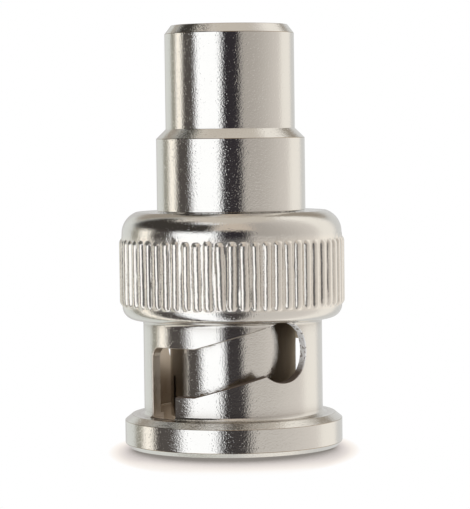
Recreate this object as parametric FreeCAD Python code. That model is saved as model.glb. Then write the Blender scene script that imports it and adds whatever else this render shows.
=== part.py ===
import FreeCAD, Part
import math
import os

# Adapter from a bayonet plug (below) to a phono jack (above), in millimetres and degrees.
# The axis is +Z, from the open front of the coupling sleeve to the mouth of the jack.
# The origin is the middle of the sleeve's front face. Angles start at -Y and grow towards +X.

# Coupling sleeve, outside
flange_d = 14.0
flange_h = 2.12
flange_top_chamfer_r = 0.45
flange_top_chamfer_z = 0.36
flange_foot_chamfer = 0.3
flange_root = 0.24
barrel_d = 11.5
ring_foot_z = 8.23
ring_root = 0.22
ring_foot_round = 0.82
ring_d = 14.14
knurl_d = 14.5
knurl_len = 4.4
knurl_end_len = 0.3
knurl_count = 60
groove_w = 0.56
groove_depth = 0.16
shoulder_h = 1.65
shoulder_land = 0.29
shoulder_round = 1.46
round_steps = 3

# Coupling sleeve, inside
bore_d = 9.84
bore_mouth_chamfer = 0.35
relief_d = 10.3
relief_step = 0.3
rear_wall = 1.52

# Bayonet slots, cut right through the barrel wall, one set on each side
slot_sets = 2
entry_angle = -51.5
entry_w = 2.3
entry_corner_r = 0.8
stud_track_d = 11.3
cam_h = 3.0
cam_flat_z = 5.11
cam_bend_angle = -25.0
cam_lead = 10.1
detent_d = 3.8
detent_angle = 33.9
detent_z = 6.34

# Body of the plug
stop_gap = 0.05
neck_d = 8.3
neck_gap = 0.12
body_flange_d = 9.5
body_flange_t = 1.4
stub_d = 7.2
stub_len = 2.5
body_bore_d = 5.6

# Spring, washer and gasket
spring_h = 0.7
spring_t = 0.2
spring_waves = 3
spring_ring_w = 0.6
washer_t = 0.28
washer_gap = 0.02
washer_ring_w = 0.8
ring_gap = 0.08
gasket_t = 1.0
gasket_ring_w = 0.58

# Slotted ferrule of the plug
ferrule_d = 8.1
ferrule_bore_d = 6.5
ferrule_reach = 8.4
ferrule_shoulder = 0.4
ferrule_tip_chamfer = 0.25
spigot_d = 7.1
spigot_len = 2.0
finger_slits = 4
finger_slit_w = 0.35
finger_slit_len = 2.9
finger_slit_angle = 22.0

# Front insulator and pin
seat_gap = 0.02
insulator_front_step = 0.2
insulator_recess_d = 4.9
insulator_recess_len = 5.6
pin_d = 1.35
pin_step_back = 0.8
pin_nose_len = 0.5
pin_nose_d = 0.7
pin_root_d = 2.0
pin_shank_d = 2.4
pin_shank_start = 0.8
pin_tail_d = 1.0
pin_tail_len = 3.5

# Rear shell, with the collar and the jack sleeve
collar_d = 9.54
collar_h = 4.63
collar_chamfer = 0.61
jack_d = 8.3
jack_len = 6.62
jack_rim_chamfer_r = 0.42
jack_rim_chamfer_z = 0.55
jack_bore_d = 6.7
jack_mouth_chamfer = 0.2
shell_web_t = 1.3
shell_foot_chamfer = 0.12

# Jack insulator and contact
jack_face_step = 0.3
contact_d = 3.9
contact_bore_d = 3.2
contact_bore_len = 6.4
contact_face_step = 0.45
contact_stem_d = 2.4
contact_slits = 4
contact_slit_w = 0.35
contact_slit_len = 4.6
contact_floor_t = 0.5
contact_mouth_chamfer = 0.2

# Levels along the axis that follow from the sizes above
ring_top_z = ring_foot_z + ring_foot_round + knurl_len
sleeve_top_z = ring_top_z + shoulder_h
wall_inner_z = sleeve_top_z - rear_wall
washer_z = wall_inner_z - washer_gap - washer_t
spring_z = washer_z - spring_h
body_front_z = spring_z - body_flange_t
gasket_face_z = body_front_z - gasket_t
ferrule_tip_z = gasket_face_z - ferrule_reach
spigot_top_z = body_front_z + spigot_len
shell_foot_z = sleeve_top_z + stop_gap
stub_top_z = shell_foot_z + stub_len
collar_top_z = shell_foot_z + collar_h
jack_foot_z = collar_top_z + collar_chamfer
jack_top_z = jack_foot_z + jack_len
jack_seat_z = stub_top_z + shell_web_t
jack_face_z = jack_top_z - jack_face_step
contact_top_z = jack_top_z - jack_face_step - contact_face_step
contact_floor_z = contact_top_z - contact_bore_len
insulator_front_z = ferrule_tip_z + insulator_front_step
insulator_floor_z = insulator_front_z + insulator_recess_len
pin_tip_z = ferrule_tip_z + pin_step_back
shank_z = insulator_floor_z + pin_shank_start
insulator_step_z = body_front_z - ferrule_shoulder
contact_foot_z = spigot_top_z + seat_gap


def vec(x, y, z):
    return FreeCAD.Vector(x, y, z)


def at(r, z):
    """A point of a half section, at radius r and height z."""
    return vec(r, 0.0, z)


def arc_points(centre_r, centre_z, radius, first, last):
    """Points along an arc of the half section, its ends with them, between two angles from +R."""
    points = []
    for i in range(round_steps + 1):
        a = math.radians(first + (last - first) * i / round_steps)
        points.append((centre_r + radius * math.cos(a), centre_z + radius * math.sin(a)))
    return points


def turned_outline(points):
    """A solid of revolution about the axis, from straight lines through (radius, height) pairs."""
    corners = [at(r, z) for r, z in points]
    corners.append(corners[0])
    edges = [Part.LineSegment(a, b).toShape() for a, b in zip(corners, corners[1:])]
    return Part.Face(Part.Wire(edges)).revolve(vec(0, 0, 0), vec(0, 0, 1), 360)


def tube(r_out, r_in, z_low, z_high):
    return turned_outline([(r_in, z_low), (r_out, z_low), (r_out, z_high), (r_in, z_high)])


def about_axis(shape, angle):
    copy = shape.copy()
    copy.rotate(vec(0, 0, 0), vec(0, 0, 1), angle)
    return copy


def facing(shape, angle):
    """Turn a shape that was made towards +X so that it faces the given angle from -Y."""
    return about_axis(shape, angle - 90.0)


def sleeve_blank():
    """The sleeve before its slots and knurl are cut: outside profile, stepped bore, rear hole."""
    flange_r = flange_d / 2
    barrel_r = barrel_d / 2
    ring_r = ring_d / 2
    knurl_r = knurl_d / 2
    bore_r = bore_d / 2
    relief_r = relief_d / 2
    hole_r = neck_d / 2 + neck_gap
    round_z = ring_foot_z + ring_foot_round
    shoulder_z = ring_top_z + shoulder_land
    relief_z = flange_h + relief_step
    shoulder_end = math.degrees(math.asin((sleeve_top_z - shoulder_z) / shoulder_round))

    flange = [
        (flange_r - flange_foot_chamfer, 0),
        (flange_r, flange_foot_chamfer),
        (flange_r, flange_h - flange_top_chamfer_z),
        (flange_r - flange_top_chamfer_r, flange_h),
    ]
    barrel = [
        (barrel_r + flange_root, flange_h),
        (barrel_r, flange_h + flange_root),
        (barrel_r, ring_foot_z - ring_root),
        (barrel_r + ring_root, ring_foot_z),
    ]
    ring_foot = arc_points(ring_r - ring_foot_round, round_z, ring_foot_round, -90.0, 0.0)
    knurl = [
        (knurl_r, round_z + knurl_end_len),
        (knurl_r, ring_top_z - knurl_end_len),
        (ring_r, ring_top_z),
    ]
    shoulder = arc_points(ring_r - shoulder_round, shoulder_z, shoulder_round, 0.0, shoulder_end)
    inside = [
        (hole_r, sleeve_top_z),
        (hole_r, wall_inner_z),
        (relief_r, wall_inner_z),
        (relief_r, relief_z),
        (bore_r, relief_z),
        (bore_r, bore_mouth_chamfer),
        (bore_r + bore_mouth_chamfer, 0),
    ]
    return turned_outline(flange + barrel + ring_foot + knurl + shoulder + inside)


def knurl_grooves():
    """Vee grooves along the knurl, side by side round the ring, run out through its end chamfers."""
    outer_r = knurl_d / 2
    bottom_r = outer_r - groove_depth
    spread = 2.0
    corners = [
        vec(bottom_r, 0, ring_foot_z),
        vec(bottom_r + spread * groove_depth, -spread * groove_w / 2, ring_foot_z),
        vec(bottom_r + spread * groove_depth, spread * groove_w / 2, ring_foot_z),
    ]
    corners.append(corners[0])
    groove = Part.Face(Part.makePolygon(corners)).extrude(vec(0, 0, sleeve_top_z - ring_foot_z))
    return [about_axis(groove, i * 360.0 / knurl_count) for i in range(knurl_count)]


def entry_slot():
    """The stud's way in: open through the barrel, and only a track inside the flange."""
    inner_r = bore_d / 2 - entry_w / 2
    outer_r = barrel_d / 2 + entry_w / 2
    top_z = cam_flat_z + cam_h / 2
    window = Part.makeBox(outer_r - inner_r, entry_w, top_z - flange_h, vec(inner_r, -entry_w / 2, flange_h))
    corner = [e for e in window.Edges if is_top_corner(e, top_z)]
    window = window.makeFillet(entry_corner_r, corner)
    track_r = stud_track_d / 2
    depth = flange_h + relief_step
    track = Part.makeBox(track_r - inner_r, entry_w, depth + entry_w, vec(inner_r, -entry_w / 2, -entry_w))
    return facing(window.fuse(track), entry_angle)


def is_top_corner(edge, top_z):
    """True for the radial edge at the top of the entry slot, on the side away from the cam slot."""
    middle = edge.CenterOfMass
    radial = abs(edge.Vertexes[0].Y - edge.Vertexes[-1].Y) < 1e-6
    radial = radial and abs(edge.Vertexes[0].Z - edge.Vertexes[-1].Z) < 1e-6
    return radial and abs(middle.z - top_z) < 1e-6 and middle.y < 0


def wall_patch(angle):
    """A face across the barrel wall at an angle: the section of the cam slot there."""
    inner_r = bore_d / 2 - entry_w / 2
    outer_r = barrel_d / 2 + entry_w / 2
    low = -cam_h / 2
    high = cam_h / 2
    corners = [vec(inner_r, 0, low), vec(outer_r, 0, low), vec(outer_r, 0, high), vec(inner_r, 0, high)]
    corners.append(corners[0])
    wire = Part.makePolygon(corners)
    wire.translate(vec(0, 0, cam_flat_z))
    return facing(wire, angle)


def cam_slot():
    """A level stretch from the entry slot, then a helix that climbs to the detent hole."""
    level = Part.Face(wall_patch(entry_angle))
    level = level.revolve(vec(0, 0, 0), vec(0, 0, 1), cam_bend_angle - entry_angle)
    turn = detent_angle - cam_bend_angle
    helix = Part.makeHelix(cam_lead, cam_lead * turn / 360.0, barrel_d / 2)
    helix = facing(helix, cam_bend_angle)
    helix.translate(vec(0, 0, cam_flat_z))
    sweep = Part.BRepOffsetAPI.MakePipeShell(Part.Wire(helix.Edges))
    sweep.setBiNormalMode(vec(0, 0, 1))
    sweep.add(wall_patch(cam_bend_angle))
    sweep.build()
    sweep.makeSolid()
    return level.fuse(sweep.shape())


def detent_hole():
    inner_r = bore_d / 2 - entry_w / 2
    length = barrel_d / 2 + entry_w / 2 - inner_r
    hole = Part.makeCylinder(detent_d / 2, length, vec(inner_r, 0, detent_z), vec(1, 0, 0))
    return facing(hole, detent_angle)


def coupling_sleeve():
    sleeve = sleeve_blank().cut(Part.makeCompound(knurl_grooves()))
    slot = entry_slot().fuse(cam_slot()).fuse(detent_hole())
    for i in range(slot_sets):
        sleeve = sleeve.cut(about_axis(slot, i * 360.0 / slot_sets))
    return sleeve


def bnc_body():
    """Front flange, neck that the sleeve turns on, and the stub that the rear shell is pressed on."""
    neck_r = neck_d / 2
    bore_r = body_bore_d / 2
    spigot_r = spigot_d / 2 + seat_gap
    return turned_outline([
        (spigot_r, body_front_z),
        (body_flange_d / 2, body_front_z),
        (body_flange_d / 2, spring_z),
        (neck_r, spring_z),
        (neck_r, shell_foot_z),
        (stub_d / 2, shell_foot_z),
        (stub_d / 2, stub_top_z),
        (bore_r, stub_top_z),
        (bore_r, spigot_top_z),
        (spigot_r, spigot_top_z),
    ])


def slits(count, width, length, reach, z_open, up, first_angle):
    """Narrow cuts across a tube wall, open at one end."""
    z_low = z_open - length if up else z_open - width
    blade = Part.makeBox(reach, width, length + width, vec(0, -width / 2, z_low))
    return [facing(blade, first_angle + i * 360.0 / count) for i in range(count)]


def outer_contact():
    """Spring ferrule: slotted fingers in front, a spigot in the body behind."""
    outer_r = ferrule_d / 2
    bore_r = ferrule_bore_d / 2
    throat_r = body_bore_d / 2
    ferrule = turned_outline([
        (bore_r, ferrule_tip_z),
        (outer_r - ferrule_tip_chamfer, ferrule_tip_z),
        (outer_r, ferrule_tip_z + ferrule_tip_chamfer),
        (outer_r, body_front_z),
        (spigot_d / 2, body_front_z),
        (spigot_d / 2, spigot_top_z),
        (throat_r, spigot_top_z),
        (throat_r, insulator_step_z),
        (bore_r, insulator_step_z),
    ])
    cuts = slits(finger_slits, finger_slit_w, finger_slit_len, ferrule_d, ferrule_tip_z, False,
                 finger_slit_angle)
    return ferrule.cut(Part.makeCompound(cuts))


def wave_washer():
    """A flat spring ring bent into even waves between the body's flange and the thrust washer."""
    inner_r = neck_d / 2 + ring_gap
    outer_r = inner_r + spring_ring_w
    swing = (spring_h - spring_t) / 2
    steps = spring_waves * 12
    rims = []
    for r in (inner_r, outer_r):
        points = []
        for i in range(steps):
            a = 2 * math.pi * i / steps
            z = spring_z + swing - swing * math.cos(spring_waves * a)
            points.append(vec(r * math.cos(a), r * math.sin(a), z))
        rim = Part.BSplineCurve()
        rim.interpolate(Points=points, PeriodicFlag=True)
        rims.append(rim.toShape())
    return Part.makeRuledSurface(rims[0], rims[1]).extrude(vec(0, 0, spring_t))


def thrust_washer():
    inner_r = neck_d / 2 + ring_gap
    return tube(inner_r + washer_ring_w, inner_r, washer_z, washer_z + washer_t)


def face_gasket():
    """Rubber ring that the front rim of the jack is drawn against."""
    inner_r = ferrule_d / 2 + seat_gap
    return tube(inner_r + gasket_ring_w, inner_r, gasket_face_z, body_front_z)


def front_insulator():
    """Dielectric of the plug: a deep round recess in front, a stepped hole for the pin behind."""
    outer_r = ferrule_bore_d / 2 - seat_gap
    rear_r = body_bore_d / 2 - seat_gap
    recess_r = insulator_recess_d / 2
    shank_r = pin_shank_d / 2 + seat_gap
    root_r = pin_root_d / 2 + seat_gap
    return turned_outline([
        (recess_r, insulator_front_z),
        (outer_r, insulator_front_z),
        (outer_r, insulator_step_z),
        (rear_r, insulator_step_z),
        (rear_r, spigot_top_z),
        (shank_r, spigot_top_z),
        (shank_r, shank_z),
        (root_r, shank_z),
        (root_r, insulator_floor_z),
        (recess_r, insulator_floor_z),
    ])


def center_pin():
    """Plug pin: blunt nose, two thicker steps in the insulator, a tail that enters the jack contact."""
    pin_r = pin_d / 2
    root_r = pin_root_d / 2
    shank_r = pin_shank_d / 2
    tail_r = pin_tail_d / 2
    tail_top_z = spigot_top_z + pin_tail_len - seat_gap
    return turned_outline([
        (0, pin_tip_z),
        (pin_nose_d / 2, pin_tip_z),
        (pin_r, pin_tip_z + pin_nose_len),
        (pin_r, insulator_floor_z),
        (root_r, insulator_floor_z),
        (root_r, shank_z + seat_gap),
        (shank_r, shank_z + seat_gap),
        (shank_r, spigot_top_z),
        (tail_r, spigot_top_z),
        (tail_r, tail_top_z),
        (0, tail_top_z),
    ])


def rca_shell():
    """Collar that stops the sleeve, and the plain sleeve of the jack, bored for its insulator."""
    stub_r = stub_d / 2 + seat_gap
    web_r = body_bore_d / 2
    jack_bore_r = jack_bore_d / 2
    return turned_outline([
        (stub_r, shell_foot_z),
        (collar_d / 2 - shell_foot_chamfer, shell_foot_z),
        (collar_d / 2, shell_foot_z + shell_foot_chamfer),
        (collar_d / 2, collar_top_z),
        (jack_d / 2, jack_foot_z),
        (jack_d / 2, jack_top_z - jack_rim_chamfer_z),
        (jack_d / 2 - jack_rim_chamfer_r, jack_top_z),
        (jack_bore_r + jack_mouth_chamfer, jack_top_z),
        (jack_bore_r, jack_top_z - jack_mouth_chamfer),
        (jack_bore_r, jack_seat_z),
        (web_r, jack_seat_z),
        (web_r, stub_top_z),
        (stub_r, stub_top_z),
    ])


def rear_insulator():
    """Core of the jack: a head in the sleeve, a stem through the stub, a stepped middle hole."""
    head_r = jack_bore_d / 2 - seat_gap
    stem_r = body_bore_d / 2 - seat_gap
    hole_r = contact_d / 2 + seat_gap
    stem_hole_r = contact_stem_d / 2 + seat_gap
    seat_z = contact_floor_z - contact_floor_t
    foot_z = spigot_top_z + seat_gap
    return turned_outline([
        (stem_hole_r, foot_z),
        (stem_r, foot_z),
        (stem_r, jack_seat_z),
        (head_r, jack_seat_z),
        (head_r, jack_face_z),
        (hole_r, jack_face_z),
        (hole_r, seat_z),
        (stem_hole_r, seat_z),
    ])


def socket_contact():
    """Jack contact: a slotted tube, and a stem that takes the tail of the plug pin."""
    outer_r = contact_d / 2
    bore_r = contact_bore_d / 2
    stem_r = contact_stem_d / 2
    tail_hole_r = pin_tail_d / 2 + seat_gap
    tail_hole_z = spigot_top_z + pin_tail_len
    contact = turned_outline([
        (tail_hole_r, contact_foot_z),
        (stem_r, contact_foot_z),
        (stem_r, contact_floor_z - contact_floor_t),
        (outer_r, contact_floor_z - contact_floor_t),
        (outer_r, contact_top_z),
        (bore_r + contact_mouth_chamfer, contact_top_z),
        (bore_r, contact_top_z - contact_mouth_chamfer),
        (bore_r, contact_floor_z),
        (0, contact_floor_z),
        (0, tail_hole_z),
        (tail_hole_r, tail_hole_z),
    ])
    cuts = slits(contact_slits, contact_slit_w, contact_slit_len, contact_d, contact_top_z, True, 0.0)
    return contact.cut(Part.makeCompound(cuts))


parts = {
    "coupling_sleeve": coupling_sleeve,
    "rca_shell": rca_shell,
    "bnc_body": bnc_body,
    "outer_contact": outer_contact,
    "wave_washer": wave_washer,
    "thrust_washer": thrust_washer,
    "face_gasket": face_gasket,
    "front_insulator": front_insulator,
    "center_pin": center_pin,
    "rear_insulator": rear_insulator,
    "socket_contact": socket_contact,
}

os.makedirs("parts", exist_ok=True)
for name, make in parts.items():
    shape = make()
    solid = shape.Solids[0]
    solid.exportStep("parts/" + name + ".step")
    box = solid.BoundBox
    print(name, "solids", len(shape.Solids), "valid", solid.isValid(), "volume", round(solid.Volume, 3),
          "z", round(box.ZMin, 3), round(box.ZMax, 3), "width", round(box.XLength, 3))
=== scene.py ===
# %% [markdown]
# A coaxial adapter stands on its open front: a bayonet plug below, a phono jack above. Its pieces
# are turned from brass and nickel plated, so nearly every surface is a profile spun about one
# axis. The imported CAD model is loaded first. It gives the places of all pieces, and the new pieces
# are built round the same axis, in millimetres, with the same named sizes.

# %% Load the fixed frame
import math

import bmesh
import bpy
import numpy as np
from mathutils import Matrix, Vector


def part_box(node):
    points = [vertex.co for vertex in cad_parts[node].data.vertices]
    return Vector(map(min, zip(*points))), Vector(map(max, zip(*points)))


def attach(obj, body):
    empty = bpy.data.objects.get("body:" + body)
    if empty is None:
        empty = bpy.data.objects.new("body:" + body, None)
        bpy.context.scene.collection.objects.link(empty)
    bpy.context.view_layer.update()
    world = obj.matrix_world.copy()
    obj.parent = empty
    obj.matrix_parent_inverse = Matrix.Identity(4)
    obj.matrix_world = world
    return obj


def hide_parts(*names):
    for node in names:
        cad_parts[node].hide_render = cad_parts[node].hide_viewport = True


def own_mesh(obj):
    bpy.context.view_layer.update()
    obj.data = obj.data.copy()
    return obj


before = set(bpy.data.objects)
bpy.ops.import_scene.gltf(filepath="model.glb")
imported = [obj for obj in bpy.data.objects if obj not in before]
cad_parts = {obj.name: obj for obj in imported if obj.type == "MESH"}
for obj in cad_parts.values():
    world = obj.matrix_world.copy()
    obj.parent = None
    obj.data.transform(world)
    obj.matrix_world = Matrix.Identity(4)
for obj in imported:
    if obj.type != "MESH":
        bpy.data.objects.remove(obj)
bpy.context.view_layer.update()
mm = 0.001
rng = np.random.default_rng(20)


def low_high(node):
    """Lowest and highest height of a CAD node, in mm."""
    low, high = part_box(node)
    return low.z / mm, high.z / mm


sleeve_foot_z, sleeve_top_z = low_high("coupling_sleeve")
shell_foot_z, shell_top_z = low_high("rca_shell")
print("sleeve", sleeve_foot_z, sleeve_top_z, "shell", shell_foot_z, shell_top_z)

# %% [markdown]
# A turned edge is never sharp. A profile is therefore given as corners, each with the radius of
# its edge break, and the arc is worked out so that it touches both straight runs. The outward
# normal turns evenly along the arc. Keeping that normal matters on bright plating: a reflection on
# a cylinder is only straight if the shading normal is exact, so it isn't left to an average of
# faces.

# %% Rounded profiles
edge_break = 0.04
worn_below = 0.3


def arc_steps(radius):
    """More steps on a larger round."""
    return 3 if radius < 0.1 else 5 if radius < 0.5 else 14


def rounded(corners, closed=True):
    """Rows of a profile: radius, height, normal's radial and axial parts, edge mask.

    Corners are (radius, height) or (radius, height, round), counterclockwise in the half plane, so
    the outward normal of a run is its direction turned right by a quarter. A corner's arc has its
    centre at corner - side * round * (n1 + n2) / (1 + n1 . n2), where n1 and n2 are the normals of
    the runs and side is +1 on a convex corner, -1 in a hollow one. Its points are centre + side *
    round * n, with n turned evenly from n1 to n2.
    """
    points = np.array([c[:2] for c in corners], float)
    rounds = [c[2] if len(c) > 2 else edge_break for c in corners]
    runs = np.roll(points, -1, axis=0) - points
    runs /= np.linalg.norm(runs, axis=1)[:, None]
    normals = np.stack([runs[:, 1], -runs[:, 0]], axis=1)
    rows = []
    for i, point in enumerate(points):
        if not closed and i in (0, len(points) - 1):
            axial = np.sign(normals[min(i, len(points) - 2)][1])
            rows.append([[point[0], point[1], 0.0, axial, 0.0]])
            continue
        n1, n2 = normals[i - 1], normals[i]
        turn = math.atan2(n1[0] * n2[1] - n1[1] * n2[0], n1 @ n2)
        side = math.copysign(1.0, turn)
        centre = point - side * rounds[i] * (n1 + n2) / (1 + n1 @ n2)
        t = np.linspace(0, 1, arc_steps(rounds[i]) + 1)
        a = math.atan2(n1[1], n1[0]) + turn * t
        n = np.stack([np.cos(a), np.sin(a)], axis=1)
        where = centre + side * rounds[i] * n
        worn = side > 0 and rounds[i] < worn_below
        edge = np.where((t > 0.01) & (t < 0.99), 1.0, 0.0) * worn
        rows.append(np.column_stack([where, n, edge]))
    return np.concatenate(rows)


print("a plain ring has", len(rounded([(1, 0), (2, 0), (2, 1), (1, 1)])), "profile rows")

# %% [markdown]
# Spinning the profile gives the piece, as the lathe does: the work turns and one tool follows the
# outline. All points come from whole arrays, profile rows along one side and angles along the
# other. Marks such as "edge" and "bore" travel with the points, and the finishes read them later.

# %% Turned pieces
def round_axis(r, z, angle):
    """Points at radius r, height z and angle from -Y towards +X, in metres."""
    r, z, angle = np.broadcast_arrays(r, z, angle)
    return np.stack([r * np.sin(angle), -r * np.cos(angle), z], axis=-1) * mm


def grid_faces(columns, rows, closed):
    """Quads of a grid that closes on itself round the axis, and along the profile if closed."""
    i = np.arange(columns)[:, None]
    j = np.arange(rows if closed else rows - 1)[None, :]
    i2 = (i + 1) % columns
    j2 = (j + 1) % rows
    corners = [i * rows + j, i2 * rows + j, i2 * rows + j2, i * rows + j2]
    return np.stack(corners, axis=-1).reshape(-1, 4)


def make_piece(name, points, faces, normals=None):
    """A mesh object with smooth faces, and with the given vertex normals if there are any."""
    mesh = bpy.data.meshes.new(name)
    mesh.from_pydata(points.reshape(-1, 3).tolist(), [], faces)
    mesh.shade_smooth()
    mesh.update()
    if normals is not None:
        mesh.normals_split_custom_set_from_vertices(normals.reshape(-1, 3).tolist())
    piece = bpy.data.objects.new(name, mesh)
    bpy.context.scene.collection.objects.link(piece)
    return piece


def turned(name, profile, columns=240, closed=True):
    """A profile spun about the axis.

    A row (r, z) with the normal (nr, nz) gives, at each angle a, the point (r sin a, -r cos a, z)
    and the normal (nr sin a, -nr cos a, nz). A profile that starts and ends on the axis gets one
    vertex at each pole, with a fan round it.
    """
    angle = np.linspace(0, 2 * math.pi, columns, endpoint=False)[:, None]
    body = profile if closed else profile[1:-1]
    r, z, nr, nz, edge = body.T[:, None, :]
    points = round_axis(r, z, angle)
    normals = round_axis(nr, nz, angle) / mm
    rows = len(body)
    faces = grid_faces(columns, rows, closed).tolist()
    points = points.reshape(-1, 3)
    normals = normals.reshape(-1, 3)
    edge = np.broadcast_to(edge, (columns, rows)).ravel()
    if not closed:
        ends = profile[[0, -1]]
        points = np.concatenate([points, round_axis(0.0, ends[:, 1], 0.0)])
        normals = np.concatenate([normals, np.array([[0, 0, s] for s in ends[:, 3]])])
        edge = np.append(edge, [0, 0])
        low, high = columns * rows, columns * rows + 1
        i = np.arange(columns) * rows
        k = np.roll(i, -1)
        fan = [low + 0 * i, k, i, high + 0 * i, i + rows - 1, k + rows - 1]
        faces += np.stack(fan, axis=1).reshape(-1, 3).tolist()
    piece = make_piece(name, points, faces, normals)
    mark(piece, "edge", edge)
    outwards = (normals[:, :2] * points[:, :2]).sum(axis=1) / mm
    mark(piece, "bore", np.where(outwards < -0.5, 1.0, 0.0))
    return piece


def mark(piece, name, values, domain="POINT"):
    """Store one number per vertex or corner under a name that materials can read."""
    layer = piece.data.attributes.new(name, "FLOAT", domain)
    layer.data.foreach_set("value", np.asarray(values, np.float32))


print("a closed grid of 4 columns and 3 rows has", len(grid_faces(4, 3, True)), "faces")

# %% [markdown]
# Slots and slits are cut out of a finished turned piece, as on the lathe and mill. The cut is an
# exact Boolean. It leaves new corners on old surfaces, so the shading normals are worked out
# again: a face that still lies on the turned surface takes the profile's own normal, turned to
# each of its corners, and a face made by the cutter keeps the plain normal that its neighbours
# give.

# %% Cutting
def cut(piece, *cutters):
    """Take the cutters out of the piece with exact Booleans, and remove them."""
    for cutter in cutters:
        modifier = piece.modifiers.new("cut", "BOOLEAN")
        modifier.object = cutter
        modifier.solver = "EXACT"
    view = bpy.context.evaluated_depsgraph_get()
    mesh = bpy.data.meshes.new_from_object(piece.evaluated_get(view))
    piece.modifiers.clear()
    old = piece.data
    piece.data = mesh
    bpy.data.meshes.remove(old)
    for cutter in cutters:
        bpy.data.objects.remove(cutter)
    print(piece.name, "has", len(mesh.polygons), "faces after the cut")


# %% Shading
smooth_below = math.radians(35)
hole_angle = math.radians(33.9)
hole_z = 6.34
hole_r = 1.9
torn_width = 0.1
same_way = 0.93
inward = -0.5
ledge_from = 0.2
ledge_span = 0.5
nowhere = (99.0, 99.0)


def read(items, name, width=1, kind=float):
    """One property of all vertices, corners or faces of a mesh, as an array with a row for each."""
    values = np.zeros(len(items) * width, kind)
    items.foreach_get(name, values)
    return values.reshape(-1, width) if width > 1 else values


def along_profile(profile, r, z):
    """Profile rows at the points of the profile nearest to (r, z)."""
    start = profile[:, :2]
    run = np.roll(start, -1, axis=0) - start
    length2 = np.maximum((run ** 2).sum(axis=1), 1e-12)
    best = np.full(len(r), 1e9)
    found = np.zeros((len(r), 5))
    following = np.roll(profile, -1, axis=0)
    for a, b, d, l2 in zip(profile, following, run, length2):
        t = np.clip(((r - a[0]) * d[0] + (z - a[1]) * d[1]) / l2, 0, 1)
        gap = (r - a[0] - t * d[0]) ** 2 + (z - a[1] - t * d[1]) ** 2
        nearer = gap < best - 1e-12
        best[nearer] = gap[nearer]
        found[nearer] = a + t[nearer, None] * (b - a)
    return found


def shade(piece, profile, keep=None, satin_from=nowhere):
    """Exact normals on turned faces, plain ones on cut faces, and the marks for the finish."""
    mesh = piece.data
    mesh.shade_smooth()
    mesh.set_sharp_from_angle(angle=smooth_below)
    vertex = read(mesh.loops, "vertex_index", kind=int)
    points = read(mesh.vertices, "co", 3) / mm
    radius = np.hypot(points[:, 0], points[:, 1])
    rows = along_profile(profile, radius, points[:, 2])[vertex]
    counts = read(mesh.polygons, "loop_total", kind=int)
    face = np.repeat(np.arange(len(counts)), counts)
    flat = read(mesh.polygons, "normal", 3)
    middle = read(mesh.polygons, "center", 3) / mm
    middle_r = np.hypot(middle[:, 0], middle[:, 1])
    out = middle[:, :2] / middle_r[:, None]
    face_rows = along_profile(profile, middle_r, middle[:, 2])
    dot = face_rows[:, 2] * (out * flat[:, :2]).sum(axis=1) + face_rows[:, 3] * flat[:, 2]
    turned_face = dot > same_way
    normals = read(mesh.corner_normals, "vector", 3)
    sideways = points[vertex, :2] / radius[vertex, None]
    exact = np.column_stack([sideways * rows[:, 2:3], rows[:, 3]])
    use = turned_face[face]
    if keep is not None:
        kept = keep(radius, points[:, 2])[vertex]
        mark(piece, "knurl", kept, "CORNER")
        use &= ~kept
        turned_face |= keep(middle_r, middle[:, 2])
    normals[use] = exact[use]
    mesh.normals_split_custom_set(normals.tolist())
    skin = turned_face[face]
    mark(piece, "edge", rows[:, 4] * skin, "CORNER")
    mark(piece, "cut", ~skin, "CORNER")
    mark(piece, "bore", skin & (rows[:, 2] < inward), "CORNER")
    satin = (radius > satin_from[0]) & (points[:, 2] > satin_from[1])
    mark(piece, "satin", satin[vertex], "CORNER")
    beside = np.abs(points[:, 0] * math.cos(hole_angle) + points[:, 1] * math.sin(hole_angle))
    by_hole = np.hypot(beside, points[:, 2] - hole_z) < hole_r + torn_width
    mark(piece, "torn", by_hole[vertex] & ~skin, "CORNER")
    # Cut faces that look upwards are marked as ledges, which the finish paints with shade.
    upward = np.clip((flat[:, 2] - ledge_from) / ledge_span, 0.0, 1.0)
    mark(piece, "ledge", upward[face] * ~skin, "CORNER")
    print(piece.name, "faces", len(counts), "cut faces", int((~turned_face).sum()))


print("the torn rim reaches", torn_width, "mm past a hole of", 2 * hole_r, "mm")

# %% [markdown]
# The coupling sleeve is the piece that the eye goes to: a plain flange, a thin barrel with two
# bayonet slots, and a knurled ring with a deep rounded shoulder. Its outside and bore are one
# closed profile. The knurl is a field of sixty low ridges with round backs and round ends, so in
# that stretch the radius is a function of angle and height. The columns of the grid crowd together
# at the ridge's flanks, where the surface turns fastest, and each ridge differs a little, as
# pressed knurling does.

# %% Coupling sleeve: sizes
flange_r = 7.0
flange_low_z = 0.3
flange_high_z = 1.76
flange_h = 2.12
barrel_r = 5.75
bore_r = 4.92
relief_r = 5.15
relief_z = 2.42
neck_hole_r = 4.27
rear_wall = 1.52
ring_r = 7.07
ring_foot_z = 8.23
ring_foot_round = 0.82
knurl_low_z = 9.05
knurl_high_z = 13.45
shoulder_land = 0.29
shoulder_round = 1.46
shoulder_end = math.radians(66.0)
ridge_count = 60
ridge_rise = 0.18
ridge_half = 0.29
ridge_end = 0.35
lip_z = 0.35
lip_r = 5.27

shoulder_z = knurl_high_z + shoulder_land
shoulder_corner_z = shoulder_z + shoulder_round * math.tan(shoulder_end / 2)
arc_end_r = ring_r - shoulder_round + shoulder_round * math.cos(shoulder_end)
arc_end_z = shoulder_z + shoulder_round * math.sin(shoulder_end)
shoulder_top_r = arc_end_r - (sleeve_top_z - arc_end_z) * math.tan(shoulder_end)

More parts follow.
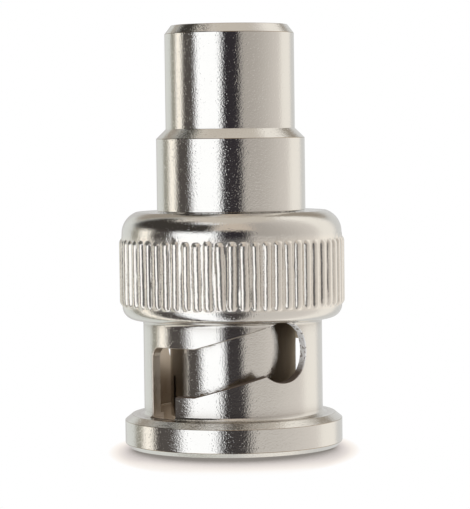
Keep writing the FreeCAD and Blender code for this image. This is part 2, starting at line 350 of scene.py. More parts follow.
sleeve_profile = rounded([
    (6.7, 0.0, 0.05),
    (flange_r, flange_low_z, 0.08),
    (flange_r, flange_high_z, 0.05),
    (6.55, flange_h, 0.05),
    (barrel_r, flange_h, 0.3),
    (barrel_r, ring_foot_z, 0.28),
    (ring_r, ring_foot_z, ring_foot_round),
    (ring_r, shoulder_corner_z, shoulder_round),
    (shoulder_top_r, sleeve_top_z, 0.1),
    (neck_hole_r, sleeve_top_z),
    (neck_hole_r, sleeve_top_z - rear_wall),
    (relief_r, sleeve_top_z - rear_wall),
    (relief_r, relief_z),
    (bore_r, relief_z),
    (bore_r, lip_z),
    (lip_r, 0.0),
])
print("sleeve profile rows", len(sleeve_profile))

# %% Coupling sleeve: knurled blank
end_steps = np.array([0.012, 0.028, 0.05, 0.09, 0.14, 0.2, 0.27, 0.35])
middle_rows = np.linspace(knurl_low_z + 0.7, knurl_high_z - 0.7, 7)
upper_rows = (knurl_high_z - end_steps)[::-1]
knurl_rows_z = np.concatenate([knurl_low_z + end_steps, middle_rows, upper_rows])
between_ridges = -1.31
flank = np.array([0.28, 0.55, 0.76, 0.9, 1.0])
across = np.concatenate([[between_ridges], -flank[::-1], [0.0], flank])
print("a ridge has", len(across), "columns and", len(knurl_rows_z), "rows")


def knurled_blank():
    """The sleeve's grid. In the knurl, radius = ring radius + ridge height at (angle, height).

    A ridge's height is rise * (1 - (a / w)^3 - (e / end)^2) where that is above zero: a is the
    distance across from its middle line, w its half width, and e how far the height is into the
    rounded end. Middle lines and widths wander a little, and each ridge leans by its own amount.
    The column between two ridges stays where it is.
    """
    start = np.flatnonzero(np.abs(sleeve_profile[:, 0] - ring_r) < 1e-9)
    first = start[0] + 1
    extra = np.zeros((len(knurl_rows_z), 5))
    extra[:, 0] = ring_r
    extra[:, 1] = knurl_rows_z
    extra[:, 2] = 1.0
    profile = np.concatenate([sleeve_profile[:first], extra, sleeve_profile[first:]])
    knurl = np.arange(first, first + len(extra))
    pitch = 2 * math.pi / ridge_count
    count = (ridge_count, 1)
    each_row = (ridge_count, len(extra))
    middle = rng.normal(0, 0.02, count) + rng.normal(0, 0.008, each_row)
    middle += rng.normal(0, 0.01, count) * (knurl_rows_z - (knurl_low_z + knurl_high_z) / 2)
    middle = np.clip(middle, -0.06, 0.06)
    half = ridge_half * (1 + rng.normal(0, 0.04, count) + rng.normal(0, 0.02, each_row))
    rise = ridge_rise * (1 - np.abs(rng.normal(0, 0.05, count)))
    low_end = knurl_low_z + rng.normal(0.02, 0.03, count) + ridge_end
    high_end = knurl_high_z - rng.normal(0.02, 0.03, count) - ridge_end
    ridge = np.repeat(np.arange(ridge_count), len(across))
    share = np.tile(across, ridge_count)[:, None]
    angle = ridge[:, None] * pitch + share * ridge_half / ring_r + np.zeros(len(profile))
    r = np.broadcast_to(profile[:, 0], angle.shape).copy()
    z = np.broadcast_to(profile[:, 1], angle.shape).copy()
    zk = z[:, knurl]
    angle[:, knurl] += np.where(share == between_ridges, 0.0, middle[ridge]) / ring_r
    into = np.maximum(low_end[ridge] - zk, 0) + np.maximum(zk - high_end[ridge], 0)
    height = 1 - np.abs(share * ridge_half / half[ridge]) ** 3 - (into / ridge_end) ** 2
    r[:, knurl] = ring_r + rise[ridge] * np.maximum(height, 0)
    columns, rows = r.shape
    print("blank", columns, "columns", rows, "rows")
    faces = grid_faces(columns, rows, True).tolist()
    return make_piece("sleeve", round_axis(r, z, angle), faces)


# %% [markdown]
# Each bayonet slot is milled from outside in three passes: a straight entry for the stud, a cam
# slot that runs level and then climbs to draw the plug home, and a round hole where the stud drops
# in. Each pass is a cutter of its own: an outline on the barrel's surface, carried inwards along
# the mill's axis, so that the entry and the hole get parallel walls while the cam's walls point at
# the axis. At the surface the outline grows by a hair: the small chamfer that catches the light.

# %% Bayonet slots: outlines
entry_angle = math.radians(-51.5)
entry_half = 1.15
entry_corner = 0.8
cam_low_z = 3.61
cam_height = 3.0
cam_bend = math.radians(-25.0)
cam_climb = 10.1 / (2 * math.pi)
track_r = 5.65
slot_chamfer = 0.05
window_foot_z = flange_h + 0.01


def entry_outline():
    """Up the left side, round the corner, along the top and down the right side.

    All outlines have a row for each point: angle of the mill's axis, distance beside it, height.
    They run clockwise, seen from outside.
    """
    top_z = cam_low_z + cam_height - 0.004
    a = np.linspace(math.pi, math.pi / 2, 10)
    corner_x = -entry_half + entry_corner + entry_corner * np.cos(a)
    corner_z = top_z - entry_corner + entry_corner * np.sin(a)
    x = np.concatenate([[-entry_half], corner_x, [entry_half, entry_half]])
    z = np.concatenate([[window_foot_z], corner_z, [top_z, window_foot_z]])
    return np.column_stack([np.full(len(x), entry_angle), x, z])


def cam_outline():
    """Upper edge out and lower edge back: level up to the bend, then a helix."""
    end = hole_angle - 0.08
    angle = np.concatenate([[entry_angle], np.linspace(cam_bend, end, 60)])
    low = cam_low_z + cam_climb * np.maximum(angle - cam_bend, 0)
    upper = np.column_stack([angle, 0 * angle, low + cam_height])
    lower = np.column_stack([angle, 0 * angle, low])
    return np.concatenate([upper, lower[::-1]])


def hole_outline():
    """A circle of hole_r round the hole's axis."""
    a = np.linspace(0, -2 * math.pi, 96, endpoint=False)
    return np.column_stack([0 * a + hole_angle, hole_r * np.cos(a), hole_z + hole_r * np.sin(a)])


print("points: entry", len(entry_outline()), "cam", len(cam_outline()), "hole", len(hole_outline()))


# %% Bayonet slots: cutters
def slot_cutter(name, outline, reach):
    """The outline carried through radii: a point d beside the mill's axis sits at angle asin(d/r).

    From the chamfer's foot outwards each point has moved by the chamfer along
    (n1 + n2) / (1 + n1 . n2), where n1 and n2 are the outward normals of the outline's two runs
    there. The foot of the entry stays level with the flange. A second cutter stands opposite.
    """
    flat_x = barrel_r * outline[:, 0] + outline[:, 1]
    flat = np.column_stack([flat_x, outline[:, 2]])
    run = np.roll(flat, -1, axis=0) - flat
    run /= np.linalg.norm(run, axis=1)[:, None]
    after = np.column_stack([-run[:, 1], run[:, 0]])
    before = np.roll(after, 1, axis=0)
    outward = (before + after) / (1 + (before * after).sum(axis=1))[:, None]
    outward[np.abs(outline[:, 2] - window_foot_z) < 1e-6, 1] = 0.0
    r = np.array([4.5, barrel_r - slot_chamfer, barrel_r + 0.005, reach])[None, :]
    growth = np.array([0.0, 0.0, slot_chamfer, slot_chamfer])[None, :]
    beside = outline[:, 1:2] + growth * outward[:, 0:1]
    z = outline[:, 2:3] + growth * outward[:, 1:2]
    angle = outline[:, 0:1] + np.arcsin(beside / r)
    count, depth = angle.shape
    i = np.arange(count)[:, None]
    i2 = (i + 1) % count
    j = np.arange(depth - 1)[None, :]
    here, next_ = i * depth + j, i2 * depth + j
    sides = np.stack([here, here + 1, next_ + 1, next_], axis=-1)
    ring = np.arange(count) * depth
    faces = sides.reshape(-1, 4).tolist() + [ring.tolist(), (ring[::-1] + depth - 1).tolist()]
    other = [[k + count * depth for k in f] for f in faces]
    points = [round_axis(r + 0 * z, z, angle + half).reshape(-1, 3) for half in (0.0, math.pi)]
    return make_piece(name, np.concatenate(points), faces + other)


def box_cutter(name, angles, near, far, half, low, high):
    """Boxes along the given angles: corner = out * reach + across * side, at a height.

    The eight corners of each run over reach in (near, far), side in (-half, half) and height in
    (low, high), the last one fastest.
    """
    angle = np.array(angles)[:, None]
    ends = [(a, b, c) for a in (near, far) for b in (-half, half) for c in (low, high)]
    reach, side, z = np.array(ends).T
    x = reach * np.sin(angle) + side * np.cos(angle)
    y = side * np.sin(angle) - reach * np.cos(angle)
    points = np.stack([x, y, z + 0 * x], axis=-1) * mm
    quads = np.array([(0, 1, 3, 2), (4, 6, 7, 5), (0, 4, 5, 1), (2, 3, 7, 6), (0, 2, 6, 4),
                      (1, 5, 7, 3)])
    faces = quads + 8 * np.arange(len(angles))[:, None, None]
    return make_piece(name, points, faces.reshape(-1, 4).tolist())


def outward_faces(piece):
    """Turn all faces of a closed mesh outwards."""
    work = bmesh.new()
    work.from_mesh(piece.data)
    bmesh.ops.recalc_face_normals(work, faces=work.faces)
    work.to_mesh(piece.data)
    work.free()
    return piece


# %% Coupling sleeve: milled
entry_reach = 6.6
cam_reach = 8.5
hole_reach = 7.2
track_near = 4.3
track_half = entry_half - 0.02
track_foot_z = -1.0
sleeve = knurled_blank()
entry = slot_cutter("entry", entry_outline(), entry_reach)
cam = slot_cutter("cam", cam_outline(), cam_reach)
hole = slot_cutter("hole", hole_outline(), hole_reach)
track = box_cutter("track", [entry_angle, entry_angle + math.pi], track_near, track_r, track_half,
                   track_foot_z, relief_z)
cut(sleeve, *[outward_faces(c) for c in (track, hole, cam, entry)])

# %% Coupling sleeve: shaded
outside_r = 6.8
margin = 0.05
satin_r = 6.0


def in_knurl(r, z):
    """Where the knurl's own normals are kept."""
    return (z > knurl_low_z - margin) & (z < knurl_high_z + margin) & (r > outside_r)


shade(sleeve, sleeve_profile, keep=in_knurl, satin_from=(satin_r, ring_foot_z - 0.1))

# %% [markdown]
# The rear shell is plain turning: a collar, a chamfer, the jack sleeve and its chamfered mouth.
# The plug's body sits below it, out of sight: a cup for the ferrule and the spring, and a stub
# that is pressed into the shell. A turned bar of brass gives both.

# %% Rear shell
collar_r = 4.77
collar_top_z = 19.78
jack_foot_z = 20.39
jack_r = 4.15
jack_bore_r = 3.35
jack_seat_z = 18.95
stub_r = 3.6
stub_top_z = 17.65
socket_r = stub_r + 0.02
throat_r = 2.8

shell_profile = rounded([
    (socket_r, shell_foot_z),
    (collar_r, shell_foot_z, 0.03),
    (collar_r, collar_top_z, 0.07),
    (jack_r, jack_foot_z, 0.03),
    (jack_r, shell_top_z - 0.55, 0.08),
    (jack_r - 0.42, shell_top_z, 0.07),
    (jack_bore_r + 0.2, shell_top_z, 0.04),
    (jack_bore_r, shell_top_z - 0.2),
    (jack_bore_r, jack_seat_z),
    (throat_r, jack_seat_z),
    (throat_r, stub_top_z),
    (socket_r, stub_top_z),
])
shell = turned("shell", shell_profile, 300)
print("shell profile rows", len(shell_profile))

# %% Plug body
body_front_z, _ = low_high("bnc_body")
spigot_top_z = 13.18
body_r = 4.75
body_bore_r = 3.57
spring_seat_z = 12.58
neck_r = 4.15
body = turned("plug_body", rounded([
    (body_bore_r, body_front_z),
    (body_r, body_front_z),
    (body_r, spring_seat_z),
    (neck_r, spring_seat_z, 0.05),
    (neck_r, shell_foot_z, 0.03),
    (stub_r, shell_foot_z, 0.03),
    (stub_r, stub_top_z),
    (throat_r, stub_top_z),
    (throat_r, spigot_top_z, 0.03),
    (body_bore_r, spigot_top_z, 0.03),
]))
print("body from", body_front_z, "mm to", stub_top_z, "mm")

# %% [markdown]
# The ferrule is the outer contact of the plug, the bright wall seen through the bayonet slot. On
# the real part it is a thin tube of springy brass, sawn into four fingers so that it presses
# against the mating jack. Here the tube is turned and the slits are cut with boxes, as a slitting
# saw does.

# %% Slotted ferrule
ferrule_foot_z, _ = low_high("outer_contact")
ferrule_r = 4.05
ferrule_bore_r = 3.25
ferrule_tail_r = 3.55
core_seat_z = body_front_z - 0.4
slit_half = 0.175
slit_len = 2.9
quarters = np.radians(90.0) * np.arange(4)
ferrule_profile = rounded([
    (ferrule_bore_r, ferrule_foot_z),
    (ferrule_r - 0.25, ferrule_foot_z, 0.06),
    (ferrule_r, ferrule_foot_z + 0.25, 0.1),
    (ferrule_r, body_front_z),
    (ferrule_tail_r, body_front_z),
    (ferrule_tail_r, spigot_top_z),
    (throat_r, spigot_top_z),
    (throat_r, core_seat_z),
    (ferrule_bore_r, core_seat_z),
])
ferrule = turned("ferrule", ferrule_profile, 300)
slits = box_cutter("slits", np.radians(22.0) + quarters, 2.0, 5.0, slit_half,
                   ferrule_foot_z - 1.0, ferrule_foot_z + slit_len)
cut(ferrule, outward_faces(slits))
shade(ferrule, ferrule_profile)

# %% [markdown]
# Two white cores keep the inner line from the outer one: a cup round the pin at the front, and a
# thick ring round the contact at the jack. They are turned from the same kind of waxy plastic.
# Only the rear one's face shows, so these are plain profiles with a soft edge at the mouth.

# %% Insulators
front_face_z, _ = low_high("front_insulator")
insulator_floor_z = front_face_z + 5.6
core_r = 3.23
cup_r = 2.45
tail_r = 2.78
collar_hole_r = 1.22
pin_hole_r = 1.02
front_core = turned("front_core", rounded([
    (cup_r, front_face_z, 0.08),
    (core_r, front_face_z, 0.06),
    (core_r, core_seat_z),
    (tail_r, core_seat_z),
    (tail_r, spigot_top_z),
    (collar_hole_r, spigot_top_z),
    (collar_hole_r, insulator_floor_z + 0.8),
    (pin_hole_r, insulator_floor_z + 0.8),
    (pin_hole_r, insulator_floor_z),
    (cup_r, insulator_floor_z, 0.15),
]))
_, jack_face_z = low_high("rear_insulator")
_, contact_top_z = low_high("socket_contact")
contact_floor_z = contact_top_z - 6.4
contact_foot_z = contact_floor_z - 0.5
rear_foot_z = spigot_top_z + 0.02
rear_core_r = 3.33
contact_hole_r = 1.97
rear_core = turned("rear_core", rounded([
    (collar_hole_r, rear_foot_z),
    (tail_r, rear_foot_z),
    (tail_r, jack_seat_z, 0.03),
    (rear_core_r, jack_seat_z, 0.03),
    (rear_core_r, jack_face_z, 0.1),
    (contact_hole_r, jack_face_z, 0.1),
    (contact_hole_r, contact_foot_z, 0.03),
    (collar_hole_r, contact_foot_z, 0.03),
]))
print("front core", front_face_z, spigot_top_z, "rear core", rear_foot_z, jack_face_z)

# %% [markdown]
# The inner line is two gold-flashed pieces: a pin whose round tip guides it into the mating jack,
# and a slotted tube that grips the plug of a phono cable. The pin reaches the axis, so its profile
# is open and ends in a pole at each side.

# %% Pin
pin_tip_z, pin_top_z = low_high("center_pin")
tip_r = 0.35
pin_r = 0.675
pin_neck_r = 1.0
pin_collar_r = 1.2
pin_tail_r = 0.5
pin_collar_z = insulator_floor_z + 0.82
pin = turned("plug_pin", rounded([
    (0.0, pin_tip_z),
    (tip_r, pin_tip_z, 0.12),
    (pin_r, pin_tip_z + 0.5, 0.3),
    (pin_r, insulator_floor_z, 0.03),
    (pin_neck_r, insulator_floor_z, 0.03),
    (pin_neck_r, pin_collar_z),
    (pin_collar_r, pin_collar_z),
    (pin_collar_r, spigot_top_z),
    (pin_tail_r, spigot_top_z),
    (pin_tail_r, pin_top_z),
    (0.0, pin_top_z),
], closed=False), 96, closed=False)
print("pin", pin_tip_z, pin_top_z)

# %% Jack contact
contact_r = 1.95
contact_bore_r = 1.6
tail_bore_r = 0.52
contact_slit_len = 4.6
contact_profile = rounded([
    (tail_bore_r, rear_foot_z),
    (pin_collar_r, rear_foot_z),
    (pin_collar_r, contact_foot_z, 0.03),
    (contact_r, contact_foot_z, 0.05),
    (contact_r, contact_top_z, 0.1),
    (contact_r - 0.15, contact_top_z, 0.03),
    (contact_bore_r, contact_top_z - 0.2, 0.05),
    (contact_bore_r, contact_floor_z, 0.05),
    (tail_bore_r, contact_floor_z),
])
contact = turned("jack_contact", contact_profile, 144)
slits = box_cutter("contact_slits", quarters, 1.0, 3.0, slit_half,
                   contact_top_z - contact_slit_len, contact_top_z + 1.0)
cut(contact, outward_faces(slits))
shade(contact, contact_profile)

# %% [markdown]
# Between the body and the sleeve lie a flat washer and a wave washer, which pulls the two
# connectors together when the sleeve is turned home. A wave washer is pressed from spring strip,
# so its height is a cosine of the angle. It is squeezed when the sleeve is drawn. A rubber ring
# round the foot of the ferrule seals the mated pair.

# %% Washers and gasket
washer_bore_r = 4.23
washer_z, washer_top_z = low_high("thrust_washer")
gasket_z, gasket_top_z = low_high("face_gasket")
washer_r = 5.03
gasket_bore_r = 4.07
gasket_r = 4.65
washer = turned("flat_washer", rounded([
    (washer_bore_r, washer_z),
    (washer_r, washer_z),
    (washer_r, washer_top_z),
    (washer_bore_r, washer_top_z),
]), 144)
gasket = turned("gasket", rounded([
    (gasket_bore_r, gasket_z, 0.15),
    (gasket_r, gasket_z, 0.15),
    (gasket_r, gasket_top_z, 0.08),
    (gasket_bore_r, gasket_top_z, 0.08),
]), 180)
print("washer", washer_z, washer_top_z, "gasket", gasket_z, gasket_top_z)

# %% Wave washer
spring_z, spring_top_z = low_high("wave_washer")
spring_low_z = 12.59
spring_high_z = 13.27
spring_r = 4.83
strip = 0.2
waves = 3


def wave_ring(name, inner, outer, low, high, columns=144):
    """A flat ring whose height is low + swing * (1 - cos(waves * angle)).

    The swing is (high - low - strip) / 2, so that the crests' upper face is at high.
    """
    angle = np.linspace(0, 2 * math.pi, columns, endpoint=False)[:, None]
    swing = (high - low - strip) / 2
    base = low + swing * (1 - np.cos(waves * (angle + math.pi / 2)))
    r = np.array([inner, outer, outer, inner])[None, :]
    lift = np.array([0.0, 0.0, strip, strip])[None, :]
    points = round_axis(r, base + lift, angle)
    piece = make_piece(name, points, grid_faces(columns, 4, True).tolist())
    piece.data.set_sharp_from_angle(angle=smooth_below)
    return piece


spring = wave_ring("wave_spring", washer_bore_r, spring_r, spring_low_z, spring_high_z)
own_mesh(spring)
print("spring", spring_z, spring_top_z)

# %% [markdown]
# Plating isn't a perfect mirror. Under a close lens it has a fine orange peel, which tears the
# edges of every reflection into grains, and scattered pits, which glint inside the dark
# reflections. Both are heights, made once as a shared group from the object's own coordinates, and
# fed to a Bump node in each finish. The group puts out a value between 0 and 1 as well, so that a
# finish can let colour and roughness vary.

# %% Nodes in few words
def add(tree, kind, inputs=None, **settings):
    """A node with its settings. Inputs go by name or place: outputs are linked, values are set."""
    node = tree.nodes.new(kind)
    for label, value in settings.items():
        setattr(node, label, value)
    for label, value in (inputs or {}).items():
        socket = node.inputs[label]
        if isinstance(value, bpy.types.NodeSocket):
            tree.links.new(value, socket)
        else:
            socket.default_value = (*value, 1.0) if socket.type == "RGBA" else value
    return node


def math_node(tree, operation, *values, clamp=False):
    """A Math node: each value is a number or an output."""
    inputs = dict(enumerate(values))
    node = add(tree, "ShaderNodeMath", inputs, operation=operation, use_clamp=clamp)
    return node.outputs[0]


def noise(tree, vector, scale, detail=2.0, rough=0.5):
    """Noise from 0 to 1, with so many grains per metre."""
    inputs = {"Vector": vector, "Scale": scale, "Detail": detail, "Roughness": rough}
    return add(tree, "ShaderNodeTexNoise", inputs).outputs["Fac"]


def ramp(tree, value, start, stop, low=0.0, high=1.0, smooth=True):
    """From low, where the value is start, to high, where it is stop."""
    inputs = {"Value": value, "From Min": start, "From Max": stop, "To Min": low, "To Max": high}
    kind = "SMOOTHSTEP" if smooth else "LINEAR"
    return add(tree, "ShaderNodeMapRange", inputs, interpolation_type=kind).outputs["Result"]


def mix_colors(tree, mask, low, high):
    """Two colours mixed by a mask: each is three numbers or an output."""
    inputs = {"Factor": mask, 6: low, 7: high}
    return add(tree, "ShaderNodeMix", inputs, data_type="RGBA").outputs[2]


def attribute(tree, name):
    """The number that mark() stored under this name."""
    return add(tree, "ShaderNodeAttribute", attribute_name=name).outputs["Fac"]


# %% Shared plating peel
broad_clouds = 330.0
pit_cells = 7600.0
pit_reach = 0.4
pit_share = 0.58


def new_group(name, inputs, outputs):
    """An empty node group with named sockets, and its two ends."""
    group = bpy.data.node_groups.new(name, "ShaderNodeTree")
    for label, kind, value in inputs:
        socket = group.interface.new_socket(label, in_out="INPUT", socket_type=kind)
        if value is not None:
            socket.default_value = value
    for label, kind in outputs:
        group.interface.new_socket(label, in_out="OUTPUT", socket_type=kind)
    return group, group.nodes.new("NodeGroupInput"), group.nodes.new("NodeGroupOutput")


plating_peel, start, end = new_group(
    "plating peel",
    [("Vector", "NodeSocketVector", None), ("Grains per mm", "NodeSocketFloat", 9.0),
     ("Grain", "NodeSocketFloat", 1.0), ("Pits", "NodeSocketFloat", 0.0)],
    [("Height", "NodeSocketFloat"), ("Variation", "NodeSocketFloat")])
given = start.outputs
scale = math_node(plating_peel, "MULTIPLY", given["Grains per mm"], 1 / mm)
fine = noise(plating_peel, given["Vector"], scale, 3.0, 0.6)
fine = math_node(plating_peel, "MULTIPLY", fine, given["Grain"])
inputs = {"Vector": given["Vector"], "Scale": pit_cells}
cells = add(plating_peel, "ShaderNodeTexVoronoi", inputs)
pit = math_node(plating_peel, "SUBTRACT", pit_reach, cells.outputs["Distance"], clamp=True)
few = math_node(plating_peel, "GREATER_THAN", cells.outputs["Color"], pit_share)
pit = math_node(plating_peel, "MULTIPLY", pit, few)
pit = math_node(plating_peel, "MULTIPLY", pit, given["Pits"])
height = math_node(plating_peel, "SUBTRACT", fine, pit)
cloud = noise(plating_peel, given["Vector"], broad_clouds, 4.0, 0.6)
plating_peel.links.new(height, end.inputs["Height"])
plating_peel.links.new(cloud, end.inputs["Variation"])
print("peel group", len(plating_peel.nodes), "nodes")


# %% Start of every finish
def new_finish(name, color, metallic, roughness):
    """A material with a Principled shader, its tree, and the object's coordinates."""
    material = bpy.data.materials.new(name)
    material.use_nodes = True
    tree = material.node_tree
    shader = tree.nodes["Principled BSDF"]
    shader.inputs["Base Color"].default_value = (*color, 1.0)
    shader.inputs["Metallic"].default_value = metallic
    shader.inputs["Roughness"].default_value = roughness
    where = add(tree, "ShaderNodeTexCoord").outputs["Object"]
    return material, tree, shader, where


def use_peel(tree, where, grains, pits, depth):
    """The peel's variation, and the normal of a Bump node that raises the peel by depth, in mm."""
    inputs = {"Vector": where, "Grains per mm": grains, "Grain": 1.0, "Pits": pits}
    peel = add(tree, "ShaderNodeGroup", inputs, node_tree=plating_peel)
    inputs = {"Strength": 1.0, "Distance": depth * mm, "Height": peel.outputs["Height"]}
    bump = add(tree, "ShaderNodeBump", inputs)
    return peel.outputs["Variation"], bump.outputs["Normal"]


# %% [markdown]
# Bright nickel is plated over the turned brass. It is a yellowish mirror, thin and browner on the
# edges. Milled walls are duller, for their cutter left its own grain, and the bore is hardly
# plated at all. The corners that an ambient occlusion mask finds are mixed towards a dark brown:
# old polish and dust that stay there, and painted shade as well. The cut faces that look upwards,
# the ledges in the slots, get a painted shade: a near black without metal. The rim of the detent
# hole is torn: bright shreds beside dark ones. The marks on the mesh say what is where.

# %% Bright nickel
nickel_color = (0.80, 0.78, 0.74)
worn_edge = (0.42, 0.35, 0.27)
dirt_and_painted_shade = (0.20, 0.15, 0.11)
dirt_and_shade_reach = 1.4
knurl_color = (0.85, 0.81, 0.75)
knurl_wear = 0.1
burr_grains = 5000.0
burr_dark = (0.34, 0.29, 0.25)
burr_bright = (1.0, 0.98, 0.96)
painted_ledge_shade = (0.10, 0.07, 0.05)
bore_color = (0.55, 0.47, 0.38)
mirror_rough = 0.055
extra_rough = {"cut": 0.25, "bore": 0.33, "satin": 0.03, "torn": 0.35, "ledge": 0.7, "knurl": 0.1}


def nickel_finish(name, cut_color, alone=True):
    """Bright nickel over turned brass; alone means that a corner is one within the piece itself."""
    material, tree, shader, where = new_finish(name, nickel_color, 1.0, mirror_rough)
    marks = {label: attribute(tree, label) for label in ("edge", *extra_rough)}
    variation, normal = use_peel(tree, where, 9.0, 1.5, 0.0095)
    tone = mix_colors(tree, variation, tuple(0.95 * c for c in nickel_color), nickel_color)
    tone = mix_colors(tree, marks["edge"], tone, worn_edge)
    tone = mix_colors(tree, marks["cut"], tone, cut_color)
    # Dirt and painted shade: corners that the occlusion finds are mixed towards a dark brown.
    inputs = {"Distance": dirt_and_shade_reach * mm}
    corner = add(tree, "ShaderNodeAmbientOcclusion", inputs, samples=8, only_local=alone)
    dirt_and_shade_mask = ramp(tree, corner.outputs["AO"], 0.9, 0.35)
    tone = mix_colors(tree, math_node(tree, "MULTIPLY", dirt_and_shade_mask, 0.8), tone, dirt_and_painted_shade)
    tone = mix_colors(tree, marks["knurl"], tone, knurl_color)
    speckle = ramp(tree, noise(tree, where, burr_grains), 0.36, 0.5)
    burr = mix_colors(tree, speckle, burr_dark, burr_bright)
    tone = mix_colors(tree, marks["torn"], tone, burr)
    # Painted shade: the upward cut faces, the ledges in the slots, turn near black.
    tone = mix_colors(tree, marks["ledge"], tone, painted_ledge_shade)
    tone = mix_colors(tree, marks["bore"], tone, bore_color)
    # Torn rims, ledges with painted shade and the worn knurl lose their metal.
    nonmetal_share = math_node(tree, "MAXIMUM", marks["torn"], marks["ledge"])
    worn = math_node(tree, "MULTIPLY", marks["knurl"], knurl_wear)
    nonmetal_share = math_node(tree, "MAXIMUM", nonmetal_share, worn)
    metal = math_node(tree, "SUBTRACT", 1.0, nonmetal_share, clamp=True)
    rough = mirror_rough
    for label, amount in extra_rough.items():
        more = math_node(tree, "MULTIPLY", marks[label], amount)
        rough = math_node(tree, "ADD", rough, more)
    looks = {"Base Color": tone, "Metallic": metal, "Roughness": rough, "Normal": normal}
    for label, value in looks.items():
        tree.links.new(value, shader.inputs[label])
    return material


nickel = nickel_finish("bright nickel", (0.62, 0.55, 0.47))
contact_nickel = nickel_finish("contact nickel", (0.6, 0.55, 0.48), alone=False)
print("nickel", len(nickel.node_tree.nodes), "nodes")

# %% [markdown]
# The hidden finishes are simpler. Gold flash is a thin bright layer that follows the brass below
# it. Spring strip is rolled steel, greyer and duller. Gasket rubber is black and matt. The cores
# are a waxy white plastic, not quite even in tone. Each has its own grain in colour, roughness and
# height.

# %% Gold, steel, rubber and plastic
def plain_finish(name, color, metallic, roughness, grains, depth, spread=0.9):
    """A finish whose colour goes from spread * color to color, its roughness by 15% each way."""
    material, tree, shader, where = new_finish(name, color, metallic, roughness)
    variation, normal = use_peel(tree, where, grains, 0.3, depth)
    tone = mix_colors(tree, variation, tuple(spread * c for c in color), color)
    rough = ramp(tree, variation, 0.0, 1.0, 0.85 * roughness, 1.15 * roughness, smooth=False)
    for label, value in {"Base Color": tone, "Roughness": rough, "Normal": normal}.items():
        tree.links.new(value, shader.inputs[label])
    return material


gold = plain_finish("gold flash", (0.83, 0.62, 0.28), 1.0, 0.16, 10.0, 0.0015)
steel = plain_finish("spring strip", (0.55, 0.55, 0.55), 1.0, 0.28, 12.0, 0.002)
rubber = plain_finish("gasket rubber", (0.03, 0.03, 0.032), 0.0, 0.6, 14.0, 0.004)
dielectric = plain_finish("white dielectric", (0.84, 0.83, 0.79), 0.0, 0.42, 5.0, 0.006, 0.95)
print("finishes", len(bpy.data.materials))

# %% [markdown]
# Each row gives a piece, the body it moves with, the CAD node it stands for, the slot its finish
# fills and the finish. The piece gets its finish and rides on its body, and the CAD node is hidden.

# %% Dress the pieces
dressed = [
    (sleeve, "sleeve", "coupling_sleeve", "nickel_plating", nickel),
    (shell, "body", "rca_shell", "nickel_plating", nickel),
    (body, "body", "bnc_body", "nickel_plating", nickel),
    (ferrule, "body", "outer_contact", "contact_plating", contact_nickel),
    (spring, "body", "wave_washer", "spring_steel", steel),
    (washer, "washer", "thrust_washer", "spring_steel", steel),
    (gasket, "body", "face_gasket", "gasket_rubber", rubber),
    (front_core, "body", "front_insulator", "white_dielectric", dielectric),
    (pin, "body", "center_pin", "gold_flash", gold),
    (rear_core, "body", "rear_insulator", "white_dielectric", dielectric),
    (contact, "body", "socket_contact", "gold_flash", gold),
]
for piece, rides_on, node, slot, finish in dressed:
    piece.data.materials.clear()
    piece.data.materials.append(finish)
    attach(piece, rides_on)
    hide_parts(node)
    print(piece.name, "faces", len(piece.data.polygons))

# %% [markdown]
# What a bright cylinder shows is the studio, drawn out into upright bands: white cards, black
# flags and the grey room between them. Each card is a soft-edged patch of the world, given by its
# bearing round the object, its width and its height, so the bands fall where the photograph has
# them. The camera itself sees plain white, and diffuse light comes evenly from all round.

# %% Studio: bearing and height of each direction
world = bpy.data.worlds.new("studio")
bpy.context.scene.world = world
world.use_nodes = True
world.cycles.sampling_method = "NONE"
sky = world.node_tree
sky.nodes.clear()
direction = add(sky, "ShaderNodeTexCoord").outputs["Generated"]
way = add(sky, "ShaderNodeSeparateXYZ", {0: direction}).outputs
bearing = math_node(sky, "ARCTAN2", way["X"], math_node(sky, "MULTIPLY", way["Y"], -1.0))
bearing = math_node(sky, "MULTIPLY", bearing, 180 / math.pi)
rise = math_node(sky, "MULTIPLY", math_node(sky, "ARCSINE", way["Z"]), 180 / math.pi)


def card(under, left, right, color, soft, low=None, high=None, soft_rise=None):
    """Lay a card over what is there, between two bearings and, if given, two heights in degrees."""
    edges = [(bearing, left, soft), (bearing, right, -soft)]
    if low is not None:
        edges += [(rise, low, soft_rise), (rise, high, -soft_rise)]
    mask = 1.0
    for value, place, width in edges:
        edge = ramp(sky, value, place - width / 2, place + width / 2)
        mask = math_node(sky, "MULTIPLY", mask, edge)
    return mix_colors(sky, mask, under, color)


print("bearing 0 is the camera's side, -Y, and 90 the right, +X")

# %% Studio: cards and flags
room = (0.62, 0.61, 0.60)
flag = (0.10, 0.09, 0.085)
big_card = (1.28, 1.31, 1.36)
shade_behind = (0.36, 0.32, 0.27)
cards = [
    (-161, -128, (0.76, 0.78, 0.76), 8),
    (-128, -112, (0.36, 0.35, 0.30), 5),
    (-112, -93, (1.2, 1.15, 1.06), 3),
    (-94, -64, flag, 3),
    (-66, -57, flag, 3, -90, -4.6, 1),
    (-64, -14, big_card, 3, -4.6, 90, 1),
    (-58, -14, big_card, 3, -90, -4.6, 1),
    (-15, 19, (0.036, 0.032, 0.038), 3),
    (-12, 19, (0.075, 0.068, 0.066), 3, -90, -5, 2),
    (19, 140, (0.47, 0.44, 0.41), 3),
    (17.5, 140, (0.66, 0.63, 0.60), 4, -90, -4.2, 3),
    (75, 140, (0.83, 0.785, 0.745), 100),
    (103, 139, (1.0, 0.965, 0.91), 12),
    (139, 180, (0.70, 0.70, 0.69), 8),
    (-136, -20, (0.055, 0.05, 0.045), 10, 18, 58, 12),
    (-20, 24, (0.66, 0.58, 0.50), 8, 26, 90, 8),
    (-190, 190, (0.66, 0.61, 0.55), 4, 64, 100, 10),
    (140, 181, shade_behind, 8, 24, 66, 10),
    (-181, -140, shade_behind, 8, 24, 66, 10),
]
view = room
for each in cards:
    view = card(view, *each)
print("studio of", len(cards), "cards")

